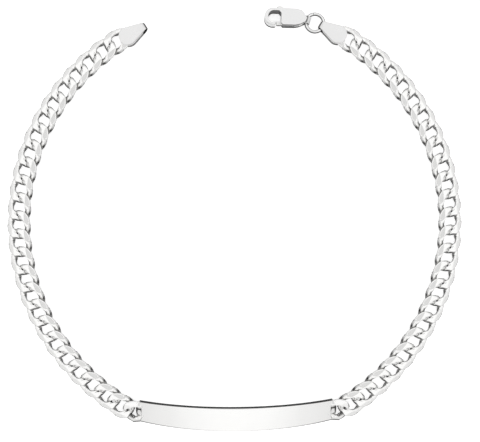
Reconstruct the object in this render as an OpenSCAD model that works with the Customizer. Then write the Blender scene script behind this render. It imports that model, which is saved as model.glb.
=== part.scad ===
// Id bracelet of polished silver: a curved plate between two flat curb chains, with folded
// end tags, a jump ring and a flat lobster clasp. It lies open in a circle on a surface.
// Millimetres. X runs across the circle, Y towards the clasp and Z up from the surface.

/* [Circle it lies in] */
// Radius of the circle that the links' middles lie on
loop_r = 38.04; // [38:0.01:38.08]
// Angle from one link to the next, in degrees
link_step = 4.82; // [4.8:0.01:4.86]
// Angle of each chain's first link from the clasp side of the circle, in degrees
first_angle = 32.34; // [32.1:0.02:32.6]
// Distance that the circle's middle is moved so that the whole part is centred
loop_y = -1.375; // [-1.4:0.005:-1.35]

/* [Curb links] */
// Half length of a link's wire line
wire_a = 2.12; // [2.1:0.01:2.14]
// Half width of a link's wire line
wire_b = 1.5; // [1.46:0.01:1.5]
// Half thickness of the wire at a link's ends
wire_end = 0.42; // [0.38:0.01:0.43]
// Half width of the wire at a link's sides
wire_side = 0.54; // [0.5:0.01:0.56]
// Half height of the wire
wire_tall = 0.37; // [0.34:0.01:0.38]
// Extra half width of the wire at a link's four corners
wire_corner = 0.2; // [0.1:0.01:0.22]
// Height that the wire rises and dips to pass over and under its neighbours
wire_rise = 0.51; // [0.48:0.01:0.53]
// Squareness of a link in plan: 1 is an oval and less is squarer
link_square = 0.8; // [0.75:0.01:0.9]
// Lean of a link across its length
link_lean = 0.12; // [0.05:0.01:0.15]
// Half height of the chain between its two ground faces
flat_half = 0.62; // [0.6:0.01:0.66]
// Half width of the chain
chain_half = 2.04; // [2:0.01:2.06]
// Slope of the bevel along each side of the chain, in degrees
bevel = 24; // [22:1:26]
// Half height that the bevels leave at the chain's sides
bevel_edge = 0.2; // [0.15:0.01:0.25]

/* [Id plate] */
// Distance from the middle of the circle to the plate's middle line, at its ends
plate_y = 32.98; // [32.9:0.01:33.1]
// Half length of the plate's face
face_half = 16.55; // [16.4:0.05:16.7]
// Radius that the plate's outer face is bent to
plate_bend = 36; // [35:0.5:38]
// Thickness of the plate
plate_thick = 1.0; // [0.9:0.02:1.1]
// Height of the plate's face at its ends
plate_rise = 1.8; // [1.75:0.01:1.9]
// Width of the plate in the middle
plate_wide = 3.9; // [3.8:0.02:4]
// Width of the plate at its ends
plate_end = 3.4; // [3.3:0.02:3.5]
// Lean of the plate towards the outside of the circle, in degrees
plate_lean = 3; // [2:0.5:4]

/* [End tags] */
// Radius of a tag's round end
tag_r = 1.6; // [1.5:0.02:1.7]
// Length from the middle of the round end to the tip
tag_long = 3.7; // [3.6:0.05:3.8]
// Width of the tip
tag_tip = 1.1; // [1.1:0.05:1.3]
// Thickness of the two leaves together
tag_thick = 1.44; // [1.4:0.02:1.5]
// Radius of the eye that is folded into the tip
eye_r = 0.47; // [0.46:0.01:0.48]

/* [Jump ring] */
// Radius of the ring's wire line
ring_r = 1.56; // [1.52:0.01:1.58]
// Radius of the ring's wire
ring_wire = 0.29; // [0.26:0.01:0.3]

/* [Clasp] */
// Radius of the clasp's round front
clasp_front = 1.47; // [1.44:0.01:1.5]
// Thickness of the clasp
clasp_thick = 1.9; // [1.8:0.02:2]
// Width of the slot that the lever turns in
slot_wide = 0.72; // [0.7:0.02:0.76]
// Thickness of the lever
lever_thick = 0.52; // [0.48:0.02:0.54]
// Radius of the rivet that the lever turns on
pin_r = 0.32; // [0.3:0.01:0.34]

/* [Hidden] */
$fn = 64;
links = 24;
rings = 16;
sides = 6;
silver = [0.86, 0.86, 0.87];

// A power that keeps the sign, so an oval can be made squarer.
function signed_power(x, e) = sign(x) * pow(abs(x), e);

// The wire line of a link: an oval in plan that rises and dips twice in its turn.
function wire_line(t, a, b) =
  let (v = b * signed_power(sin(t), link_square))
  [a * signed_power(cos(t), link_square) - link_lean * v,
   v,
   wire_rise * signed_power(sin(2 * t), 0.6)];

function unit(v) = v / norm(v);

// The distance along a ray to a plane, or far away if the ray never meets it.
function reach(from, ray, plane, limit) =
  let (d = ray * plane)
  d > 0.001 ? (limit - from * plane) / d : 99;

// One point on the wire's surface, cut back to the ground faces and the bevels.
function wire_point(t, f, a, b, half) =
  let (c = wire_line(t, a, b),
       along = unit(wire_line(t + 6.9, a, b) - wire_line(t - 6.9, a, b)),
       across = unit(cross(along, [0, 0, 1])),
       up = cross(across, along),
       ray = across * cos(f) + up * sin(f),
       wide = wire_end + (wire_side - wire_end) * pow(sin(t), 2)
              + wire_corner * pow(sin(2 * t), 2),
       free = pow(pow(abs(cos(f)) / wide, 2.8) + pow(abs(sin(f)) / wire_tall, 2.8), -1 / 2.8),
       sb = sin(bevel),
       cb = cos(bevel),
       edge = half * sb + bevel_edge * cb)
  c + ray * min(free,
                reach(c, ray, [0, 0, 1], flat_half),
                reach(c, ray, [0, 0, -1], flat_half),
                reach(c, ray, [0, 1, 0], half),
                reach(c, ray, [0, -1, 0], half),
                reach(c, ray, [0, sb, cb], edge),
                reach(c, ray, [0, sb, -cb], edge),
                reach(c, ray, [0, -sb, cb], edge),
                reach(c, ray, [0, -sb, -cb], edge));

// Turns a point of a link to where the link lies: yaw in plan, pitch lifts its far end
// and roll lifts its outer side.
function laid(p, at, yaw, pitch, roll) =
  let (v = p[1] * cos(roll) - p[2] * sin(roll),
       w1 = p[1] * sin(roll) + p[2] * cos(roll),
       u = p[0] * cos(pitch) - w1 * sin(pitch),
       w = p[0] * sin(pitch) + w1 * cos(pitch))
  [at[0] + u * cos(yaw) + v * sin(yaw), at[1] + u * sin(yaw) - v * cos(yaw), at[2] + w];

// Where link number k lies. The last two lift and turn towards the plate's end loop, and
// the last is pushed back a little along the chain.
function turned(k) = k == 25 ? 2 : k == 24 ? 0.8 : 0;
function lifted(k) = k == 25 ? 4 : k == 24 ? 1 : 0;
function pushed(k) = k == 25 ? 0.3 : 0;
function link_angle(k) = first_angle + link_step * (k - 1);
function link_at(k) =
  let (g = link_angle(k))
  [-loop_r * sin(g) + pushed(k) * cos(g), loop_y + loop_r * cos(g) + pushed(k) * sin(g),
   flat_half + 2.5 * sin(lifted(k))];
function link_points(k) =
  [for (i = [0 : rings - 1]) for (j = [0 : sides - 1])
     laid(wire_point(i * 360 / rings, j * 360 / sides, wire_a, wire_b, chain_half),
          link_at(k), 180 + link_angle(k) + turned(k), lifted(k), 0)];

// The triangles of a closed link whose points start at number from.
function link_faces(from) =
  [for (i = [0 : rings - 1]) for (j = [0 : sides - 1])
     let (i2 = (i + 1) % rings, j2 = (j + 1) % sides,
          a = from + i * sides + j, b = from + i2 * sides + j,
          c = from + i2 * sides + j2, d = from + i * sides + j2)
     each [[a, b, c], [a, c, d]]];

// Loose links from number low to number high, which pass through each other.
module loose_links(low, high) {
  polyhedron(points = [for (k = [low : high]) each link_points(k)],
             faces = [for (k = [low : high]) each link_faces((k - low) * rings * sides)]);
}

// Half a link, with straight ends that run into the plate.
module end_loop() {
  at = [-17.5, loop_y - 33.16, 1.22];
  turns = [for (i = [4 : 12]) i];
  ring = function (t, j, u, w)
    laid(wire_point(t, j * 360 / sides, wire_a, 1.45, 1.93) + [u, 0, w], at, -12, 14, -5);
  polyhedron(
    points = concat([for (j = [0 : sides - 1]) ring(90, j, 0.8, 0.05)],
                    [for (i = turns) for (j = [0 : sides - 1]) ring(i * 22.5, j, 0, 0)],
                    [for (j = [0 : sides - 1]) ring(270, j, 0.8, -0.25)]),
    faces = concat([for (i = [0 : 9]) for (j = [0 : sides - 1])
                      let (a = i * sides + j, b = a + sides, j2 = (j + 1) % sides,
                           c = (i + 1) * sides + j2, d = i * sides + j2)
                      each [[a, b, c], [a, c, d]]],
                   [[for (j = [0 : sides - 1]) j]],
                   [[for (j = [sides - 1 : -1 : 0]) 10 * sides + j]]));
}

// The plate's plan: a barrel outline, with the corners cut at both ends.
function barrel(x) =
  plate_wide / 2 - (plate_wide - plate_end) / 2 * pow(x / (face_half + 0.5), 2);
module barrel_plan() {
  xs = [for (i = [-12 : 12]) i * (face_half + 0.4) / 12];
  polygon(concat([for (x = xs) [x, -barrel(x)]],
                 [[face_half + 0.95, -1], [face_half + 0.95, 1]],
                 [for (i = [24 : -1 : 0]) [xs[i], barrel(xs[i])]],
                 [[-face_half - 0.95, 1], [-face_half - 0.95, -1]]));
}

// Both curved faces of the plate come from one bend about the Y axis.
module bent_plate() {
  drop = sqrt(plate_bend * plate_bend - face_half * face_half);
  difference() {
    intersection() {
      translate([0, 0, plate_rise - drop])
        rotate([90, 0, 0])
          difference() {
            cylinder(h = 6, r = plate_bend, center = true, $fn = 360);
            cylinder(h = 7, r = plate_bend - plate_thick, center = true, $fn = 360);
          }
      translate([0, 0, -2])
        linear_extrude(height = 10)
          barrel_plan();
    }
    // The hollow ends: a bevel slopes down from the face to the loops.
    for (s = [-1, 1])
      translate([s * (face_half + 3.8), 0, plate_rise - 1])
        union() {
          cylinder(h = 3, r1 = 2.9, r2 = 2.9 + 2.7);
          translate([0, 0, -3])
            cylinder(h = 5, r = 2.9);
        }
  }
}

module plate() {
  color(silver)
    union() {
      translate([0, loop_y - plate_y, 0])
        rotate([plate_lean, 0, 0])
          bent_plate();
      end_loop();
      mirror([1, 0, 0])
        end_loop();
    }
}

module chain_left() {
  color(silver)
    loose_links(2, 25);
}

module chain_right() {
  color(silver)
    mirror([1, 0, 0])
      loose_links(2, 25);
}

// A tag points up to the clasp side at this slope.
tag_slope = 31.5;

// A tag's plan: a round end that narrows straight to a square tip.
module tag_plan(inset) {
  r = tag_r - inset;
  x = tag_long - inset;
  y = tag_tip / 2 - inset;
  touch = atan2(y, x) + acos(r / norm([x, y]));
  circle(r = r);
  polygon([[x, y], [r * cos(touch), r * sin(touch)],
           [r * cos(touch), -r * sin(touch)], [x, -y]]);
}

// A tag: a strip folded at the tip, where the fold leaves an eye, and its two leaves
// closed on the first link with a fine seam between them.
module folded_tag() {
  half = tag_thick / 2;
  eye_x = tag_long - half;
  difference() {
    intersection() {
      union() {
        linear_extrude(height = half - 0.05)
          tag_plan(0);
        translate([0, 0, half - 0.1])
          linear_extrude(height = 0.2)
            tag_plan(0.1);
        translate([0, 0, half + 0.05])
          linear_extrude(height = half - 0.05)
            tag_plan(0);
      }
      union() {
        translate([-3, -3, -1])
          cube([3 + eye_x, 6, 4]);
        translate([eye_x, 3, half])
          rotate([90, 0, 0])
            cylinder(h = 6, r = half);
      }
    }
    translate([eye_x, 3, half])
      rotate([90, 0, 0])
        cylinder(h = 6, r = eye_r);
  }
}

module one_tag() {
  union() {
    translate([-18.45, loop_y + 32.8, 0])
      rotate([0, 0, tag_slope])
        folded_tag();
    loose_links(1, 1);
  }
}

module tag_left() {
  color(silver)
    one_tag();
}

// The ring lies flat and passes through the right tag's eye and the eye on the clasp's tail.
eye_along = tag_long - tag_thick / 2;
ring_at = [18.45 - eye_along * cos(tag_slope) - ring_r * cos(24),
           loop_y + 32.8 + eye_along * sin(tag_slope) + ring_r * sin(24), tag_thick / 2];

module ring_of(wire) {
  translate(ring_at)
    rotate_extrude()
      translate([ring_r, 0])
        circle(r = wire, $fn = 24);
}

module jump_ring() {
  color(silver)
    ring_of(ring_wire);
}

// The right tag's eye is eased where the ring leaves it.
module tag_right() {
  color(silver)
    difference() {
      mirror([1, 0, 0])
        one_tag();
      ring_of(ring_wire + 0.13);
    }
}

// Everything in the clasp's own frame: X to its tail, Y to its spine and Z up.
module in_clasp() {
  translate([ring_at[0] - 5.25, ring_at[1] + 0.81, 0])
    rotate([0, 0, -3])
      children();
}

// The clasp's plan: a round hook, a body with cut corners, and the hook's hollow and mouth.
module clasp_plan() {
  difference() {
    union() {
      translate([-2.22, 0])
        circle(r = clasp_front);
      polygon([[-2.22, -clasp_front], [-1.0, -1.42], [-0.37, -1.4], [1.73, -1.37],
               [2.6, -1.18], [3.53, -0.68], [3.74, -0.05], [3.29, 0.79], [2.84, 1.25],
               [1.9, clasp_front], [-2.22, clasp_front]]);
    }
    translate([-1.99, -0.02])
      circle(r = 1.05);
    polygon([[-1.99, -1.07], [-0.74, -1.07], [-0.74, 0.6], [-1.15, 1.03], [-1.99, 1.03]]);
    polygon([[-1.7, -2], [-1.7, -1], [-0.74, -1], [-0.37, -1.42], [-0.37, -2]]);
  }
}

// The room that the lever turns in, open to the hook, the mouth and both long sides.
module lever_room() {
  polygon([[-1.2, -2], [-1.2, 0.9], [-0.98, 1.0], [-0.98, 2], [1.2, 2], [1.2, 1.15],
           [1.8, 0.8], [2.25, 0.3], [2.5, -0.4], [2.5, -2]]);
}

pivot = [1.3, -0.25];
// The rivet's heads are polished away, so it ends this far under each cheek's face.
skin = 0.2;

// The eye on the clasp's tail stands on the ring's line, square to the ring.
module at_tail() {
  translate(ring_at)
    rotate([0, 0, 162])
      translate([ring_r, 0, 0])
        rotate([90, 0, 0])
          children();
}

module clasp_body() {
  mid = clasp_thick / 2;
  color(silver)
    difference() {
      union() {
        in_clasp()
          difference() {
            linear_extrude(height = clasp_thick)
              clasp_plan();
            translate([0, 0, mid - slot_wide / 2])
              linear_extrude(height = slot_wide)
                lever_room();
            translate([pivot[0], pivot[1], skin - 0.03])
              cylinder(h = clasp_thick - 2 * skin + 0.06, r = pin_r + 0.03);
          }
        at_tail()
          cylinder(h = 1.1, r = tag_thick / 2, center = true);
        at_tail()
          translate([0, -tag_thick / 2, -0.55])
            cube([0.7, tag_thick, 1.1]);
      }
      at_tail()
        cylinder(h = 3, r = eye_r, center = true);
      ring_of(ring_wire + 0.14);
    }
}

module clasp_pin() {
  color(silver)
    in_clasp()
      translate([pivot[0], pivot[1], skin])
        cylinder(h = clasp_thick - 2 * skin, r = pin_r);
}

// The lever, one flat stamping: a gate that closes the mouth behind the hook's lip, a heel on
// the rivet and a thumb tab that comes out at the spine.
module clasp_lever() {
  mid = clasp_thick / 2;
  color(silver)
    in_clasp()
      translate([0, 0, mid - lever_thick / 2])
        difference() {
          linear_extrude(height = lever_thick)
            polygon([[-1.95, -0.93], [-1.55, -0.95], [-1.52, -1.36], [1.6, -1.33],
                     [1.9, -0.85], [2.0, -0.2], [1.6, 0.4], [0.3, 1.25], [-0.2, 1.7],
                     [-0.75, 2.05], [-1.2, 2.12], [-1.52, 1.9], [-1.4, 1.64], [-0.72, 1.6],
                     [-0.35, 0.9], [0.55, -0.5], [0.4, -0.7], [-1.4, -0.7],
                     [-1.95, -0.74]]);
          translate([pivot[0], pivot[1], -1])
            cylinder(h = 3, r = pin_r + 0.05);
        }
}

plate();
chain_left();
chain_right();
tag_left();
tag_right();
jump_ring();
clasp_body();
clasp_pin();
clasp_lever();
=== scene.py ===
"""Id bracelet: a flat bevelled curb chain on both sides of a plain curved plate, two tear-drop tags,
a jump ring and a small lobster clasp, all in polished silver, lying open in a circle."""
import bmesh
import bpy
import numpy as np
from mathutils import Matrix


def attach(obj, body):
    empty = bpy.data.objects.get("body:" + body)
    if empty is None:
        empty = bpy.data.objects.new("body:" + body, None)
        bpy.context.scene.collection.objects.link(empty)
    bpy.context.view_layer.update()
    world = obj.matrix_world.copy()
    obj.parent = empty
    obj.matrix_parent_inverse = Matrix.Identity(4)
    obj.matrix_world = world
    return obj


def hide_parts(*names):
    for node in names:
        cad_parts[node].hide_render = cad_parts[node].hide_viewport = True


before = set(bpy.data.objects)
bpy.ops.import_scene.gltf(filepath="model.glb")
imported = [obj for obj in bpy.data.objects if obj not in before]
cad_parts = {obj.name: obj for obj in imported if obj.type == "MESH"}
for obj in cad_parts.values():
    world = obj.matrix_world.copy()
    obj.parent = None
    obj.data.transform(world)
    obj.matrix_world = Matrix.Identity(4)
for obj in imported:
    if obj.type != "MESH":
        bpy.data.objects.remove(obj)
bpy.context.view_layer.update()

# ---------------------------------------------------------------------------------------------
# The two side chains. Each is 24 loose curb links of sterling wire: every link is bent to an oval
# that rises and dips twice in its turn, linked to its neighbours, soldered shut, and the finished
# chain is ground flat above and below and given a bevel along both edges before it is polished.
# ---------------------------------------------------------------------------------------------
# Lengths are in millimetres, and silver_mesh makes metres of them.
MM = 0.001
SILVER = (0.965, 0.962, 0.952, 1.0)
# The colour of painted shade, which stands in for the dark reflections in the polished metal.
TARNISH = (0.04, 0.039, 0.038, 1.0)
# The chains lie on one circle: the y of its middle, its radius, and in degrees the step from link
# to link and the first link's place from the top. The first link is the one on the tag.
LOOP_MIDDLE_Y, CHAIN_RADIUS = -1.375, 38.04
LINK_STEP, FIRST_LINK, LAST_LINK = 4.82, 32.34, 25
# What the last two links give way to the plate's loop: a turn and a lift in degrees, and a push.
# A link lifts about its near end, which is as far from its middle as LINK_REACH.
GIVE = {LAST_LINK - 1: dict(turn=0.8, lift=1.0, push=0.0),
        LAST_LINK: dict(turn=2.0, lift=4.0, push=0.3)}
LINK_REACH = 2.5
WIRE = dict(
    # The middle line: half its length and width, the powers that square it and its lean, then half
    # its rise and fall, how early and how sharply it turns, and its depth inside the bevels.
    long=2.14, wide=1.5, square=0.9, square_along=0.7, lean=0.12,
    rise=0.5, early=0.15, snap=0.15, inside=0.1,
    # The section: half its breadth at the ends and sides, its spread at the corners, half its
    # height, how much fuller it is at the ends and sides and over what angle, and its squareness.
    end=0.43, side=0.54, corner=0.4, tall=0.33, end_full=0.1, end_span=np.radians(22),
    side_full=0.2, side_span=np.radians(14), power=2.2,
    # The slopes over both ends: where each meets the flat face, and its angle.
    crown=2.2, crown_slope=np.radians(40))
# The ground chain: half its thickness and width, the bevels' slope, half the height of the edge
# between them, and how crisp the polish leaves an edge.
GROUND = dict(flat=0.62, half=2.04, slope=np.radians(24), edge=0.2, polish=34.0)
# Painted shade for the dark reflections: the way that shaded walls face, along and across the
# chain, with how fast the shade darkens and from where, the painted dark mark at the inner corner by
# its angle and spread, and the fade beside a ground face.
MISSED = dict(faces=(0.9, -0.43), gain=1.7, start=0.35, corner=-1.27, spread=0.24, fade=0.05)


def keep_sign(x, power):
    """The size of x raised to a power, with the sign of x put back."""
    return np.sign(x) * np.abs(x) ** power


def wire_line(t, wide=None):
    """The middle line of a link's wire: a squared oval, cos and sin of t to a power, that leans a
    little along the chain. Its height follows the sine of twice t, moved on by the square of cos t
    so that each end stays high until the next link's side crosses it, is held at its limit by
    x / sqrt(x squared + snap squared), and stays a tenth of a millimetre inside the bevels."""
    wide = WIRE["wide"] if wide is None else wide
    out = wide * keep_sign(np.sin(t), WIRE["square"])
    along = WIRE["long"] * keep_sign(np.cos(t), WIRE["square_along"]) - WIRE["lean"] * out
    wave = np.sin(2 * t) + WIRE["early"] * np.cos(t) ** 2
    height = WIRE["rise"] * wave / np.sqrt(wave ** 2 + WIRE["snap"] ** 2)
    room = GROUND["edge"] - WIRE["inside"] + (GROUND["half"] - np.abs(out)) * np.tan(GROUND["slope"])
    return np.stack([along, out, np.sign(height) * np.minimum(np.abs(height), room)], -1)


def ground_wire(t, around, wide=None, half=None):
    """The wire's surface at t along it and an angle around it. Each point goes out from the middle
    line to the first of these: an upright rounded square section, fuller in height at the ends and
    half way along the sides and spread towards the link's hole at its four corners; the ground
    flats, sides and bevels; and the slopes over both ends. A soft minimum of those distances gives
    the small radius that polishing leaves on each edge. Returns the points and the painted shade at
    each, which stands in for the dark reflections: 0 on the flats and bevels, elsewhere more the more
    it faces the plate and the middle of the loop, and 1 on a painted dark mark at the inner corner
    under the next link."""
    half = GROUND["half"] if half is None else half
    middle = wire_line(t, wide)[:, None, :]
    nearby = 0.12
    along = (wire_line(t + nearby, wide) - wire_line(t - nearby, wide))[:, None, :2]
    along = along / np.linalg.norm(along, axis=-1, keepdims=True)
    across = np.stack([along[..., 1], -along[..., 0], 0 * along[..., 0]], -1)
    up = np.array([0, 0, 1.0])
    ray = across * np.cos(around)[None, :, None] + up * np.sin(around)[None, :, None]
    # inner goes from 0 on the wire's outer side to 1 on the side of the link's hole.
    inner = 0.5 - 0.5 * np.tanh(3 * np.cos(around))[None, :]
    wire_half = ((WIRE["end"] + (WIRE["side"] - WIRE["end"]) * np.sin(t) ** 2)[:, None]
                 + WIRE["corner"] * inner * (np.sin(2 * t) ** 2)[:, None])
    from_end = np.arctan2(np.sin(t), np.abs(np.cos(t))) / WIRE["end_span"]
    from_side = np.arctan2(np.cos(t), np.abs(np.sin(t))) / WIRE["side_span"]
    wire_tall = (WIRE["tall"] + WIRE["end_full"] * np.exp(-from_end ** 2)
                 + WIRE["side_full"] * np.exp(-from_side ** 2))[:, None]
    free = ((np.abs(np.cos(around)) / wire_half) ** WIRE["power"]
            + (np.abs(np.sin(around)) / wire_tall) ** WIRE["power"]) ** (-1 / WIRE["power"])
    sb, cb = np.sin(GROUND["slope"]), np.cos(GROUND["slope"])
    sc, cc = np.sin(WIRE["crown_slope"]), np.cos(WIRE["crown_slope"])
    far = half * sb + GROUND["edge"] * cb
    crown = WIRE["crown"] * sc + GROUND["flat"] * cc
    flats = [((0, 0, 1), GROUND["flat"]), ((0, 0, -1), GROUND["flat"])]
    sides = [((0, 1, 0), half), ((0, -1, 0), half)]
    bevels = [((0, sb, cb), far), ((0, sb, -cb), far), ((0, -sb, cb), far), ((0, -sb, -cb), far)]
    slopes = [((sc, 0, cc), crown), ((sc, 0, -cc), crown),
              ((-sc, 0, cc), crown), ((-sc, 0, -cc), crown)]
    # How far each point may go out before it meets the section and each face in turn. A face that
    # its ray leads away from is out of reach.
    reach, out_of_reach = [free], 99.0
    for normal, limit in flats + sides + bevels + slopes:
        towards = ray @ np.array(normal, float)
        left = limit - middle @ np.array(normal, float)
        reach.append(np.where(towards > 1e-3, left / np.maximum(towards, 1e-3), out_of_reach))
    reach = np.stack(reach)
    first = reach.min(0)
    soft = first - np.log(np.exp(-GROUND["polish"] * (reach - first)).sum(0)) / GROUND["polish"]
    points = middle + ray * soft[..., None]
    # The nearest of each kind: reach holds the section, 2 flats, 2 sides, 4 bevels and 4 slopes.
    to_free, to_flat, to_side, to_bevel, to_slope = (r.min(0) for r in np.split(reach, (1, 3, 5, 9)))
    # Painted shade for the dark reflections: none on the flats and bevels, more on walls that face the
    # plate and the loop's middle, and a painted dark mark at the inner corner.
    wheel = np.minimum(to_flat, to_bevel)
    rest = np.minimum(np.minimum(to_free, to_side), to_slope)
    hidden = np.clip((wheel - rest) / MISSED["fade"] + 0.5, 0, 1)
    towards_plate, outwards = MISSED["faces"]
    facing = (towards_plate * across[..., 0] + outwards * across[..., 1]) * np.cos(around)[None, :]
    shade = hidden * np.clip(MISSED["gain"] * facing - MISSED["start"], 0, 1)
    from_corner = np.angle(np.exp(1j * t)) - MISSED["corner"]
    corner = np.exp(-(from_corner / MISSED["spread"]) ** 2)[:, None]
    outer = np.clip(4 * np.cos(around) - 1.2, 0, 1)
    return points, np.maximum(shade, corner * outer)


def laid(points, at, yaw, pitch=0.0, roll=0.0):
    """Points of a link turned to where it lies: roll lifts its outer side, pitch its far end, and
    yaw turns it in plan. Angles are in degrees, and each may be one value or one per link."""
    yaw, pitch, roll = (np.radians(np.asarray(a, float))[..., None, None] for a in (yaw, pitch, roll))
    at = np.asarray(at, float)[..., None, None, :]
    u, v, w = points[..., 0], points[..., 1], points[..., 2]
    v, w = v * np.cos(roll) - w * np.sin(roll), v * np.sin(roll) + w * np.cos(roll)
    u, w = u * np.cos(pitch) - w * np.sin(pitch), u * np.sin(pitch) + w * np.cos(pitch)
    return np.stack([at[..., 0] + u * np.cos(yaw) + v * np.sin(yaw),
                     at[..., 1] + u * np.sin(yaw) - v * np.cos(yaw), at[..., 2] + w], -1)


def link_places(numbers):
    """Where links lie on the circle, counted from the tag: each one step on from the one before,
    apart from what the last two give way: they turn, lift about their near end and are pushed back
    along the chain. Returns their middles, and their yaw and lift in degrees."""
    k = np.asarray(numbers, float)
    turn, lift, push = (sum((k == number) * row[key] for number, row in GIVE.items())
                        for key in ("turn", "lift", "push"))
    degrees = FIRST_LINK + LINK_STEP * (k - 1)
    g = np.radians(degrees)
    at = np.stack([-CHAIN_RADIUS * np.sin(g) + push * np.cos(g),
                   LOOP_MIDDLE_Y + CHAIN_RADIUS * np.cos(g) + push * np.sin(g),
                   GROUND["flat"] + LINK_REACH * np.sin(np.radians(lift))], -1)
    return at, 180 + degrees + turn, lift


def silver_mesh(name, shells):
    """One mesh from closed shells. A shell is (points, shade, ends, mirrored): a grid of points
    whose second count runs round a section and whose first runs along a path, which is "joined"
    to its start, ends in two flat "caps", or is "pinched" shut so that points that meet are made
    one. Shade, 0 to 1, is kept at each point."""
    verts, shades, quads, caps, start = [], [], [], [], 0
    for points, shade, finish, mirrored in shells:
        n, m = points.shape[:2]
        i = np.arange(n if finish == "joined" else n - 1)[:, None]
        j = np.arange(m)[None, :]
        nxt, side = (i + 1) % n, (j + 1) % m
        quad = np.stack([i * m + j, nxt * m + j, nxt * m + side, i * m + side], -1).reshape(-1, 4)
        ends = [np.arange(m), (n - 1) * m + np.arange(m)[::-1]] if finish == "caps" else []
        if mirrored:
            points = points * [-1.0, 1.0, 1.0]
            quad, ends = quad[:, ::-1], [e[::-1] for e in ends]
        quads.append(quad + start)
        caps += [(e + start).tolist() for e in ends]
        verts.append(points.reshape(-1, 3))
        shades.append(np.broadcast_to(shade, (n, m)).reshape(-1))
        start += n * m
    mesh = bpy.data.meshes.new(name)
    mesh.from_pydata((np.concatenate(verts) * MM).tolist(), [], np.concatenate(quads).tolist() + caps)
    kept = mesh.attributes.new("shade", "FLOAT", "POINT")
    kept.data.foreach_set("value", np.concatenate(shades).astype(np.float32))
    if any(finish == "pinched" for _, _, finish, _ in shells):
        loose_mesh = bmesh.new()
        loose_mesh.from_mesh(mesh)
        bmesh.ops.remove_doubles(loose_mesh, verts=loose_mesh.verts, dist=1e-7)
        bmesh.ops.dissolve_degenerate(loose_mesh, edges=loose_mesh.edges, dist=1e-8)
        loose_mesh.to_mesh(mesh)
        loose_mesh.free()
    mesh.shade_smooth()
    mesh.validate()
    piece = bpy.data.objects.new(name, mesh)
    bpy.context.collection.objects.link(piece)
    return piece


class Socket:
    """A shader socket that takes part in sums: an operator adds the Math node that works it out."""

    def __init__(self, bench, out):
        self.bench, self.out = bench, out

    def worked(self, operation, *others):
        """The Math node of this name on this socket and the others, in that order."""
        return self.bench.node("ShaderNodeMath", {"operation": operation},
                               dict(enumerate((self,) + others)))

    def __add__(self, other):
        return self.worked("ADD", other)

    def __mul__(self, other):
        return self.worked("MULTIPLY", other)

    def __rsub__(self, other):
        return self * -1.0 + other

    __radd__, __rmul__ = __add__, __mul__


class Bench:
    """A material or world being wired up."""

    def __init__(self, owner):
        owner.use_nodes = True
        self.tree = owner.node_tree
        self.tree.nodes.clear()

    def node(self, kind, settings=None, values=None, output=0):
        """Any node: its type, its settings, then the value or link of each socket by name or
        number. Gives back the output that is asked for, by name or number."""
        made = self.tree.nodes.new(kind)
        for key, value in (settings or {}).items():
            if key == "stops":
                ramp = made.color_ramp
                while len(ramp.elements) < len(value):
                    ramp.elements.new(0.5)
                for stop, (at, colour) in zip(ramp.elements, value):
                    stop.position, stop.color = at, colour
            else:
                setattr(made, key, value)
        for key, value in (values or {}).items():
            if isinstance(value, Socket):
                self.tree.links.new(value.out, made.inputs[key])
            else:
                made.inputs[key].default_value = value
        return Socket(self, made.outputs[output]) if len(made.outputs) else made

    def mix(self, share, colour, other, blend="MIX"):
        """A Mix node for colours, whose factor, two colours and result are sockets 0, 6, 7 and 2."""
        return self.node("ShaderNodeMix", {"data_type": "RGBA", "blend_type": blend},
                         {0: share, 6: colour, 7: other}, 2)


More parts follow.
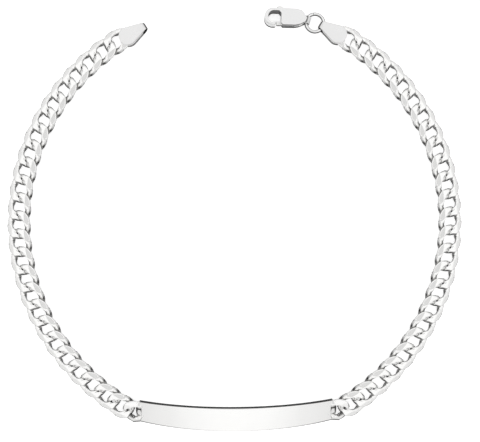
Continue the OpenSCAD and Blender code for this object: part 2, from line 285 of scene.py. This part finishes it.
def silver_finish(name, gloss, satin, brushed=(1.0, 1.0, 1.0), turn=0.0, grain=9000.0, mark=0.05,
                  bright=SILVER, dull=TARNISH, dark_bands=(), pickled=None, pickled_side=None):
    """Silver as the polisher leaves it: bright, with fine wheel marks that all run one way and patches
    that are polished a little less. It is darker and rougher where the mesh says so, which is
    painted shade apart from a wire's joint line, and in each band of painted shade: from one height
    to another, and from an x on. In a painted light band between two heights, a matt white stands
    in for a bright reflection: all over, or only to the left of an x or below a y."""
    material = bpy.data.materials.new(name)
    bench = Bench(material)
    place = bench.node("ShaderNodeTexCoord", output="Object")
    lined = bench.node("ShaderNodeMapping", {}, {"Vector": place, "Rotation": (0, 0, turn),
                                                 "Scale": brushed})
    marks = bench.node("ShaderNodeTexNoise", {}, {"Vector": lined, "Scale": grain, "Detail": 4.0,
                                                  "Roughness": 0.6})
    patch = bench.node("ShaderNodeTexNoise", {}, {"Vector": place, "Scale": 420.0, "Detail": 3.0})
    shade = bench.node("ShaderNodeAttribute", {"attribute_name": "shade"}, output="Fac")
    x, y, z = (bench.node("ShaderNodeSeparateXYZ", {}, {"Vector": place}, axis) for axis in "XYZ")

    def past(value, start, over):
        """0 up to start and 1 from start + over on, in millimetres, with a straight ramp between."""
        return bench.node("ShaderNodeMapRange", {}, {"Value": value, "From Min": start * MM,
                                                     "From Max": (start + over) * MM})

    # Painted shade in bands of height, from an x on.
    for low, high, from_x in dark_bands:
        shade = shade + 0.9 * past(z, low, 0.05) * past(z, high, -0.05) * past(x, from_x, 0.3)
    # Painted shade and a wire's joint line are rougher and darker, and they and the bright metal vary a
    # little in patches.
    worn = shade * (0.8 + 0.4 * patch)
    rough = gloss + satin * patch * marks + 0.22 * worn
    metallic = 1.0
    # Painted light: a matt white band that stands in for a bright reflection on the walls.
    if pickled:
        low, high = pickled
        matt = past(z, low, 0.05) * past(z, high, -0.05)
        if pickled_side:
            left, below = pickled_side
            matt = matt * past(x, left, -0.2).worked("MAXIMUM", past(y, below, -0.2))
        rough, metallic = rough + 0.5 * matt, 1.0 - 0.8 * matt
    colour = bench.mix(worn, bright, dull)
    tint = bench.mix(0.12 * patch * marks, colour, (0.55, 0.55, 0.55, 1.0), "MULTIPLY")
    fine = bench.node("ShaderNodeBump", {}, {"Height": marks, "Strength": mark, "Distance": 0.00001})
    metal = bench.node("ShaderNodeBsdfPrincipled", {}, {"Base Color": tint, "Metallic": metallic,
                                                        "Roughness": rough, "Normal": fine})
    bench.node("ShaderNodeOutputMaterial", {}, {"Surface": metal})
    return material


chain_finish = silver_finish("polished_chain", gloss=0.10, satin=0.16)
turns = np.linspace(0, 2 * np.pi, 92, endpoint=False)
section = np.linspace(0, 2 * np.pi, 44, endpoint=False)
one_link, one_hidden = ground_wire(turns, section)
loose_at, loose_yaw, loose_lift = link_places(range(2, LAST_LINK + 1))
loose = laid(one_link[None], loose_at, loose_yaw, loose_lift)
for side, mirrored in (("left", False), ("right", True)):
    chain = silver_mesh("curb_chain_" + side, [(link, one_hidden, "joined", mirrored) for link in loose])
    chain.data.materials.append(chain_finish)
    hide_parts("chain_" + side)
    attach(chain, "bracelet")

# ---------------------------------------------------------------------------------------------
# The id plate. A bar of silver sheet a millimetre thick, cut to a barrel outline with hollow,
# bevelled ends, bent to the wrist and mirror polished. Half a curb link is soldered to each end,
# and the side chains hang from those loops.
# ---------------------------------------------------------------------------------------------
PLATE = dict(
    # The bend: its radius, the thickness, the height of the face at x = half, the lean that raises
    # the inner edge, in degrees, and how far the bar lies below the circle's middle.
    bend=36.0, thick=1.0, rise=1.8, half=16.55, lean=3.0, y=32.98,
    # The outline: the x of its corners, its width in the middle and at x = end_at, and the middle
    # and the two radii, below and above, of the hollow in each end.
    long=16.95, wide=3.9, end=3.4, end_at=17.05, hollow_at=20.35, hollow=2.9, hollow_top=3.8,
    # The underside's corners: the x of the end, and where and how far its corners are cut back.
    foot=17.5, cut_from=1.0, cut=0.55,
    # The edge: its rounding, the height above the table that the upright wall reaches and how far
    # that stays from both faces, and the x where the line that rings are drawn in to ends.
    ease=0.1, wall_to=0.8, wall=0.3, spine=15.6,
    # The solder ledge at each end, put there to darken the hole under each loop with painted shade:
    # how far it runs out, half its width, its height, and its least x.
    solder=0.33, solder_half=1.25, solder_tall=0.2, solder_from=17.2)
EDGE_STEPS, END_STEPS = 150, 36
plate_drop = PLATE["rise"] - np.sqrt(PLATE["bend"] ** 2 - PLATE["half"] ** 2)


def bar_height(x, under=0.0):
    """Height of the bent bar: a circle about an axis that runs across the wrist."""
    return plate_drop + np.sqrt((PLATE["bend"] - under) ** 2 - x ** 2)


def bar_outline(top):
    """The bar's plan outline, once round, anticlockwise from the left end of its lower edge: the
    width falls with the square of x, and each end is a hollow arc. On the face the arc runs out to
    the corners with the sixth power of y, and on the underside it ends at a straight cut."""
    x = np.linspace(-PLATE["long"], PLATE["long"], EDGE_STEPS, endpoint=False)
    taper = (PLATE["wide"] - PLATE["end"]) / 2
    width = PLATE["wide"] / 2 - taper * (x / PLATE["end_at"]) ** 2
    tip = PLATE["wide"] / 2 - taper * (PLATE["long"] / PLATE["end_at"]) ** 2
    q = np.linspace(-1, 1, END_STEPS, endpoint=False) * tip
    if top:
        end = PLATE["hollow_at"] - np.sqrt(PLATE["hollow_top"] ** 2 - q ** 2)
        end = end + (PLATE["long"] - end[0]) * np.abs(q / tip) ** 6
    else:
        beyond = (np.abs(q) - PLATE["cut_from"]) / (tip - PLATE["cut_from"])
        cut = PLATE["foot"] - np.maximum(beyond, 0) * PLATE["cut"]
        end = np.minimum(cut, PLATE["hollow_at"] - np.sqrt(PLATE["hollow"] ** 2 - q ** 2))
    low = np.stack([x, -width], -1)
    right = np.stack([end, q], -1)
    return np.concatenate([low, right, -low, -right])


def bar_shell():
    """The bar as rings carried from the middle of its underside, out and round its edge, and back
    to the middle of its face. Each ring is the outline drawn in towards the bar's middle line."""
    base, top = bar_outline(False), bar_outline(True)
    rings = []

    def drawn_in(outline, share, inset=0.0):
        """The outline set in by inset and then drawn to a share of its way from the middle line."""
        middle = np.stack([np.clip(outline[:, 0], -PLATE["spine"], PLATE["spine"]),
                           outline[:, 1] * 0], -1)
        ahead = np.roll(outline, -1, 0) - np.roll(outline, 1, 0)
        inward = np.stack([-ahead[:, 1], ahead[:, 0]], -1)
        inward /= np.linalg.norm(inward, axis=-1, keepdims=True)
        return middle + (outline + inward * inset * share - middle) * share

    def add(plan, height):
        """One more ring, from its plan and the height of each point."""
        rings.append(np.concatenate([plan, height[:, None]], -1))

    ease = PLATE["ease"]
    fillet = base.copy()
    at_end = (np.maximum(1 - (fillet[:, 1] / PLATE["solder_half"]) ** 2, 0)
              * (np.abs(fillet[:, 0]) > PLATE["solder_from"]))
    fillet[:, 0] += PLATE["solder"] * at_end * np.sign(fillet[:, 0])
    # Rings 0 to 3 are the underside, and 4 to 7 its rounded edge.
    for share in (0.0, 0.35, 0.7, 0.94):
        plan = drawn_in(fillet, share, ease)
        add(plan, bar_height(plan[:, 0], PLATE["thick"]))
    for a in np.radians([0, 30, 60, 90]):
        plan = drawn_in(fillet, 1.0, ease * (1 - np.sin(a)))
        add(plan, bar_height(plan[:, 0], PLATE["thick"]) + ease * (1 - np.cos(a)))
    # Ring 8 is the top of the solder, 9 and 10 the top of the wall, and 11 and 12 the bevel.
    underside = bar_height(base[:, 0], PLATE["thick"])
    add(base + (fillet - base) * 0.8, underside + PLATE["solder_tall"])
    wall = np.clip(PLATE["wall_to"], underside + PLATE["wall"],
                   bar_height(base[:, 0]) - PLATE["wall"])
    for drop in (0.04, 0.0):
        add(base, wall - drop)
    step = drawn_in(top, 1.0)
    high = bar_height(step[:, 0])
    for part in (0.05, 0.95):
        add(base + (step - base) * part, wall + (high - ease - wall) * part)
    # Rings 13 to 17 are the face's rounded edge, and 18 to 23 the face.
    for a in np.radians([90, 65, 40, 20, 0]):
        plan = drawn_in(top, 1.0, ease * (1 - np.sin(a)))
        add(plan, bar_height(plan[:, 0]) - ease * (1 - np.cos(a)))
    for share in (0.96, 0.93, 0.75, 0.5, 0.25, 0.0):
        plan = drawn_in(top, share, ease)
        add(plan, bar_height(plan[:, 0]))
    return np.stack(rings)


def bar_shade(shape):
    """The painted shade at the bar's points, for dark reflections on its edges: the wall and bevel along
    the whole inner edge, the outer edge the more the further out, by the square of x, and the solder
    at both ends."""
    lower = slice(0, EDGE_STEPS)
    right = slice(EDGE_STEPS, EDGE_STEPS + END_STEPS)
    upper = slice(EDGE_STEPS + END_STEPS, 2 * EDGE_STEPS + END_STEPS)
    left = slice(2 * EDGE_STEPS + END_STEPS, None)
    solder_rings, wall_rings, lower_rings = slice(4, 10), slice(7, 14), slice(7, 19)
    # Painted shade, 0 to 1, ring by ring and point by point.
    shade = np.zeros(shape)
    shade[lower_rings, lower] = 0.9 * np.linspace(-1, 1, EDGE_STEPS, endpoint=False) ** 2
    shade[wall_rings, upper] = 0.75
    shade[solder_rings, right] = shade[solder_rings, left] = 0.9
    return shade


def leaned(points, degrees):
    """Points turned about the bar's length, so that its inner edge is raised."""
    c, s = np.cos(np.radians(degrees)), np.sin(np.radians(degrees))
    x, y, z = points[..., 0], points[..., 1], points[..., 2]
    return np.stack([x, y * c - z * s, y * s + z * c], -1)


# The half link: half the width of its middle line and of its sides, how far its outer and inner
# wire ends are drawn on, and where it lies: its place, and its yaw, pitch and roll in degrees.
LOOP = dict(wide=1.45, half=1.93, outer_end=(1.3, -0.5, 0.05), inner_end=(0.8, 0, -0.25),
            x=-17.5, y=33.16, z=1.22, yaw=-12, pitch=14, roll=-5)


def half_loop():
    """Half a curb link with its two wire ends drawn straight on into the bar. Its painted shade fades
    out beside the solder, and a line of painted shade runs along the rim of the outer wire."""
    t = np.concatenate([[np.pi / 2], np.linspace(np.pi / 2, 3 * np.pi / 2, 56), [3 * np.pi / 2]])
    points, hidden = ground_wire(t, section, LOOP["wide"], LOOP["half"])
    points[0] += LOOP["outer_end"]
    points[-1] += LOOP["inner_end"]
    # Painted shade, faded out beside the solder, and a painted dark line along the outer wire's rim.
    clear = np.clip((np.abs(np.cos(t)) - 0.25) * 2.5, 0, 1)[:, None]
    rim = (np.clip((np.cos(section) - 0.4) * 5, 0, 1)[None, :]
           * np.clip((np.sin(t) - 0.5) * 4, 0, 1)[:, None])
    at = (LOOP["x"], LOOP_MIDDLE_Y - LOOP["y"], LOOP["z"])
    shade = np.maximum(hidden * clear, 0.8 * rim)
    return laid(points, at, LOOP["yaw"], LOOP["pitch"], LOOP["roll"]), shade


bar = leaned(bar_shell(), PLATE["lean"]) + [0, LOOP_MIDDLE_Y - PLATE["y"], 0]
loop, loop_hidden = half_loop()
plate = silver_mesh("id_plate", [(bar, bar_shade(bar.shape[:2]), "pinched", False),
                                 (loop, loop_hidden, "caps", False), (loop, loop_hidden, "caps", True)])
plate.data.materials.append(silver_finish("mirror_plate", gloss=0.07, satin=0.12,
                                          brushed=(0.05, 1.0, 1.0), grain=6000.0, mark=0.03))
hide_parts("plate")
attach(plate, "bracelet")

# ---------------------------------------------------------------------------------------------
# The end tags. Each is a tear-drop strip of sheet folded over at its tip, where the fold leaves an
# eye, and closed like a sandwich on the chain's first link, to which it is soldered.
# ---------------------------------------------------------------------------------------------
TAG = dict(
    # The outline: the round end's radius, its distance to the tip and half the tip's width.
    radius=1.6, long=3.7, tip=0.55,
    # The fold: its thickness, the eye's radius, half the seam between the leaves, the rounding and
    # squareness of the sheet's edges, and the step of its 24 at which the fold's painted shade ends.
    thick=1.44, eye=0.47, seam=0.05, ease=0.08, square=1.6, missed=19,
    # Where the left tag lies: its slope in plan, in degrees, and the round end's place.
    slope=31.5, at=(-18.45, 32.8))


def tag_width(x):
    """Half the tag's width at x: the round end's circle up to where the straight sides touch it,
    then those sides, which narrow to the tip."""
    r, far, tip = TAG["radius"], TAG["long"], TAG["tip"]
    touch = np.arctan2(tip, far) + np.arccos(r / np.hypot(far, tip))
    tx, ty = r * np.cos(touch), r * np.sin(touch)
    line = ty + (tip - ty) * (x - tx) / (far - tx)
    return np.where(x < tx, np.sqrt(np.maximum(r ** 2 - np.minimum(x, tx) ** 2, 1e-6)), line)


def folded_strip():
    """The strip's surface: a rounded oblong section carried along the strip, out on the lower leaf,
    round the fold and back on the upper leaf. The section spans from the outer face to the inner,
    which opens round the eye. Returns the points and the painted shade at each: 1 on the inner face,
    0.9 in the fold, and a little along the lower leaf's edge."""
    half, eye = TAG["thick"] / 2, TAG["eye"]
    eye_x = TAG["long"] - half
    x = np.concatenate([-TAG["radius"] * np.cos(np.linspace(0.06, np.pi / 2, 22)),
                        np.linspace(0.1, eye_x - eye - 0.02, 24),
                        eye_x - eye * np.cos(np.linspace(0.1, np.pi / 2, 12))])
    gap = np.where(x > eye_x - eye, np.sqrt(np.maximum(eye ** 2 - (x - eye_x) ** 2, 0)), 0)
    gap = np.maximum(gap, TAG["seam"])
    bend = np.linspace(-np.pi / 2, np.pi / 2, 26)[1:-1]
    cb, sb = np.cos(bend), np.sin(bend)
    out = np.concatenate([np.stack([x, 0 * x], -1),
                          np.stack([eye_x + half * cb, half + half * sb], -1),
                          np.stack([x[::-1], 0 * x + TAG["thick"]], -1)])
    inner = np.concatenate([np.stack([x, half - gap], -1),
                            np.stack([eye_x + eye * cb, half + eye * sb], -1),
                            np.stack([x[::-1], (half + gap)[::-1]], -1)])
    middle, deep = (out + inner) / 2, (out - inner) / 2
    depth = np.linalg.norm(deep, axis=-1)
    width = tag_width(np.minimum(out[:, 0], TAG["long"]))
    around = np.linspace(0, 2 * np.pi, 40, endpoint=False)
    corner = np.minimum(TAG["ease"], np.minimum(depth, width) * 0.6)[:, None]
    c, s = np.cos(around)[None, :], np.sin(around)[None, :]
    side = np.clip(c * TAG["square"], -1, 1) * (width[:, None] - corner) + c * corner
    rise = np.clip(s * TAG["square"], -1, 1) * (depth[:, None] - corner) + s * corner
    unit = deep / np.maximum(depth, 1e-6)[:, None]
    points = np.stack([middle[:, None, 0] + unit[:, None, 0] * rise, side,
                       middle[:, None, 1] + unit[:, None, 1] * rise], -1)
    # Painted shade: on the inner face, in the fold up to a given step, and a little on the lower leaf's
    # edge.
    inside = np.where(rise < -0.5 * depth[:, None], 1.0, 0.0)
    number = np.arange(len(out))[:, None]
    edge = np.clip((np.abs(c) - 0.8) * 6, 0, 1) * np.where(number < len(x), 0.2, 0.0)
    fold = np.where((number > len(x)) & (number < len(x) + TAG["missed"]), 0.9, 0.0)
    return points, np.maximum(inside, np.maximum(edge, fold))


def turned_in_plan(points, degrees, at):
    """Points turned in plan and moved to their place."""
    c, s = np.cos(np.radians(degrees)), np.sin(np.radians(degrees))
    x, y = points[..., 0], points[..., 1]
    return np.stack([x * c - y * s + at[0], x * s + y * c + at[1], points[..., 2]], -1)


# The tag's walls get a painted light band, matt white between two heights, for a bright reflection.
tag_finish = silver_finish("brushed_tag", gloss=0.24, satin=0.2, brushed=(0.08, 1.0, 1.0),
                           turn=np.radians(-TAG["slope"]), grain=7000.0, mark=0.12,
                           bright=(0.83, 0.828, 0.825, 1.0), pickled=(0.4, 1.3))
strip, strip_shade = folded_strip()
strip = turned_in_plan(strip, TAG["slope"], (TAG["at"][0], LOOP_MIDDLE_Y + TAG["at"][1]))
first_at, first_yaw, first_lift = link_places([1])
first = laid(one_link[None], first_at, first_yaw, first_lift)[0]
for side, mirrored in (("left", False), ("right", True)):
    tag = silver_mesh("folded_tag_" + side, [(strip, strip_shade, "caps", mirrored),
                                             (first, one_hidden, "joined", mirrored)])
    tag.data.materials.append(tag_finish)
    tag.data.materials.append(chain_finish)
    # The strip's faces come first, then the link's, and last the strip's two caps.
    faces = np.zeros(len(tag.data.polygons), np.int32)
    faces[(strip.shape[0] - 1) * strip.shape[1]:-2] = 1
    tag.data.polygons.foreach_set("material_index", faces)
    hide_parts("tag_" + side)
    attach(tag, "bracelet")

# ---------------------------------------------------------------------------------------------
# The jump ring: round wire wound to a ring, closed by a butt joint that is soldered and leaves a
# fine line. It passes through the right tag's eye and the eye on the clasp's tail.
# ---------------------------------------------------------------------------------------------
# Its place and radius, half the wire's thickness, the joint's angle round it, and the depth and
# spread of the nick that the joint leaves, with the spread of the dull line.
RING = dict(at=(14.484, 33.6166, 0.72), radius=1.56, wire=0.29, joint=np.radians(100),
            nick=0.022, nick_spread=0.025, line_spread=0.03)


def ring_surface():
    """A round section carried round a circle, a hair thinner where the wire's ends meet. It is darker
    at that joint, and painted shade darkens its sides."""
    turn = np.linspace(0, 2 * np.pi, 160, endpoint=False)
    around = np.linspace(0, 2 * np.pi, 28, endpoint=False)
    away = np.abs(np.angle(np.exp(1j * (turn - RING["joint"]))))
    wire = (RING["wire"] - RING["nick"] * np.exp(-(away / RING["nick_spread"]) ** 2))[:, None]
    reach = RING["radius"] + wire * np.cos(around)
    x, y, z = RING["at"]
    points = np.stack([x + reach * np.cos(turn)[:, None], y + reach * np.sin(turn)[:, None],
                       z - wire * np.sin(around)], -1)
    # Painted shade on the wire's sides, for their dark reflections.
    sides = np.clip((np.abs(np.cos(around)) - 0.5) * 3.5, 0, 1)[None, :]
    return points, np.maximum(np.exp(-(away / RING["line_spread"]) ** 2)[:, None], sides)


ring, ring_shade = ring_surface()
jump_ring = silver_mesh("wire_jump_ring", [(ring, ring_shade, "joined", False)])
jump_ring.data.materials.append(silver_finish("drawn_wire", gloss=0.12, satin=0.12,
                                              bright=(0.88, 0.88, 0.875, 1.0),
                                              dull=(0.08, 0.08, 0.08, 1.0)))
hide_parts("jump_ring")
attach(jump_ring, "bracelet")

# ---------------------------------------------------------------------------------------------
# The lobster clasp: a cast and polished body with its edges eased, a stamped lever with a thumb
# tab in its slot, and the rivet that the lever turns on, whose heads are polished away.
# ---------------------------------------------------------------------------------------------
# Painted shade in two bands of height on the clasp's walls, the upper one on the body only, and a
# painted light band, matt white, on the walls to the left of an x or below a y.
clasp_finish = silver_finish("cast_clasp", gloss=0.12, satin=0.2, grain=5000.0, mark=0.08,
                             bright=(0.81, 0.81, 0.807, 1.0),
                             dark_bands=((0.1, 0.55, 0.0), (1.4, 1.8, 8.0)),
                             pickled=(0.55, 1.8), pickled_side=(5.75, 34.75))
# Painted shade in a band of height along the lever's sides.
lever_finish = silver_finish("stamped_lever", gloss=0.5, satin=0.2, brushed=(1.0, 0.1, 1.0),
                             grain=8000.0, mark=0.1, bright=(0.95, 0.948, 0.94, 1.0),
                             dark_bands=((0.6, 1.15, 0.0),))
# Each solid's finish and how far its edges are eased. Its triangles are joined before that.
for node, finish, ease in (("clasp_body", clasp_finish, 0.09), ("clasp_lever", lever_finish, 0.05),
                           ("clasp_pin", clasp_finish, 0.03)):
    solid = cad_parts[node]
    solid.data.materials.clear()
    solid.data.materials.append(finish)
    joined = solid.modifiers.new("joined", "WELD")
    joined.merge_threshold = 1e-6
    eased = solid.modifiers.new("eased_edges", "BEVEL")
    eased.width, eased.segments, eased.limit_method = ease * MM, 3, "ANGLE"
    eased.angle_limit, eased.harden_normals = np.radians(35), False

# ---------------------------------------------------------------------------------------------
# The studio: a white lit table, a tent of pale cloth that darkens towards the table, and a soft
# lamp above with a brighter ring round the lens. The camera looks straight down on the bracelet.
# ---------------------------------------------------------------------------------------------
def grey(level):
    """A colour without a tint."""
    return level, level, level, 1.0


table = bpy.data.meshes.new("table")
spread = np.array([[-1, -1, 0], [1, -1, 0], [1, 1, 0], [-1, 1, 0]]) * 0.9
table.from_pydata(spread.tolist(), [], [(0, 1, 2, 3)])
floor = bpy.data.objects.new("table", table)
bpy.context.collection.objects.link(floor)
white = bpy.data.materials.new("lit_table")
bench = Bench(white)
glow = bench.node("ShaderNodeBsdfPrincipled", {}, {"Base Color": grey(0.9), "Roughness": 0.8,
                                                   "Emission Color": grey(1.0),
                                                   "Emission Strength": 0.6})
bench.node("ShaderNodeOutputMaterial", {}, {"Surface": glow})
table.materials.append(white)
floor.visible_glossy = False

# The lamp's radius and height, in metres.
LAMP_RADIUS, LAMP_HEIGHT = 0.45, 0.115


def softbox_disc(radius, height, rings=6, steps=96):
    """A flat disc that faces down: rings of points about its middle."""
    r = np.linspace(0.02, 1, rings)[:, None] * radius
    a = np.linspace(0, 2 * np.pi, steps, endpoint=False)[None, :]
    points = np.stack([r * np.cos(a), r * np.sin(a), 0 * r + 0 * a], -1).reshape(-1, 3)
    i, j = np.arange(rings - 1)[:, None] * steps, np.arange(steps)[None, :]
    k = (j + 1) % steps
    faces = np.stack([i + j, i + k, i + steps + k, i + steps + j], -1).reshape(-1, 4).tolist()
    return points + [0, LOOP_MIDDLE_Y * MM, height], faces + [list(range(steps))]


disc = bpy.data.meshes.new("softbox")
disc_points, disc_faces = softbox_disc(LAMP_RADIUS, LAMP_HEIGHT)
disc.from_pydata(disc_points.tolist(), [], disc_faces)
lamp = bpy.data.objects.new("softbox", disc)
bpy.context.collection.objects.link(lamp)
lit = bpy.data.materials.new("softbox")
bench = Bench(lit)
spot = bench.node("ShaderNodeTexCoord", output="Object")
flat = bench.node("ShaderNodeVectorMath", {"operation": "MULTIPLY"}, {0: spot, 1: (1, 1, 0)})
away = bench.node("ShaderNodeVectorMath", {"operation": "LENGTH"}, {0: flat}, "Value")
lamp_light = [(0.0, grey(0.74)), (0.08, grey(0.74)), (0.125, grey(1.04)), (0.19, grey(1.04)),
              (0.35, grey(0.90)), (1.0, grey(0.76))]
fall = bench.node("ShaderNodeValToRGB", {"stops": lamp_light}, {0: away * (1 / LAMP_RADIUS)})
shine = bench.node("ShaderNodeEmission", {}, {"Color": fall, "Strength": 1.0})
bench.node("ShaderNodeOutputMaterial", {}, {"Surface": shine})
disc.materials.append(lit)
lamp.visible_camera = False

tent = bpy.data.worlds.new("tent")
bpy.context.scene.world = tent
bench = Bench(tent)
heading = bench.node("ShaderNodeTexCoord", output="Generated")
upward = bench.node("ShaderNodeSeparateXYZ", {}, {"Vector": heading}, "Z")
tent_light = [(0.0, grey(0.16)), (0.05, grey(0.16)), (0.10, grey(0.10)), (0.20, grey(0.10)),
              (0.30, grey(0.80)), (1.0, grey(0.84))]
cloth = bench.node("ShaderNodeValToRGB", {"stops": tent_light}, {0: upward * 0.5 + 0.5})
air = bench.node("ShaderNodeBackground", {}, {"Color": cloth, "Strength": 1.0})
bench.node("ShaderNodeOutputWorld", {}, {"Surface": air})

# The picture's width and middle in pixels, the pixel under the lens, and a pixel's size on the
# object, a millimetre above the table. The camera's height is in millimetres.
PICTURE_WIDE, PICTURE_MIDDLE, UNDER_LENS, PIXEL = 480, (240, 221), (234.5, 222), 0.176
CAMERA_HEIGHT, OBJECT_HEIGHT = 105, 1
camera = bpy.data.cameras.new("camera")
camera.sensor_width = 36.0
camera.lens = camera.sensor_width * (CAMERA_HEIGHT - OBJECT_HEIGHT) / (PICTURE_WIDE * PIXEL)
camera.shift_x = (PICTURE_MIDDLE[0] - UNDER_LENS[0]) / PICTURE_WIDE
camera.shift_y = (UNDER_LENS[1] - PICTURE_MIDDLE[1]) / PICTURE_WIDE
camera.clip_start = 0.001
eye = bpy.data.objects.new("camera", camera)
bpy.context.collection.objects.link(eye)
eye.location = (0, LOOP_MIDDLE_Y * MM, CAMERA_HEIGHT * MM)
eye.rotation_euler = (0, 0, np.radians(-0.5))
bpy.context.scene.camera = eye
bpy.context.scene.view_settings.view_transform = "Standard"
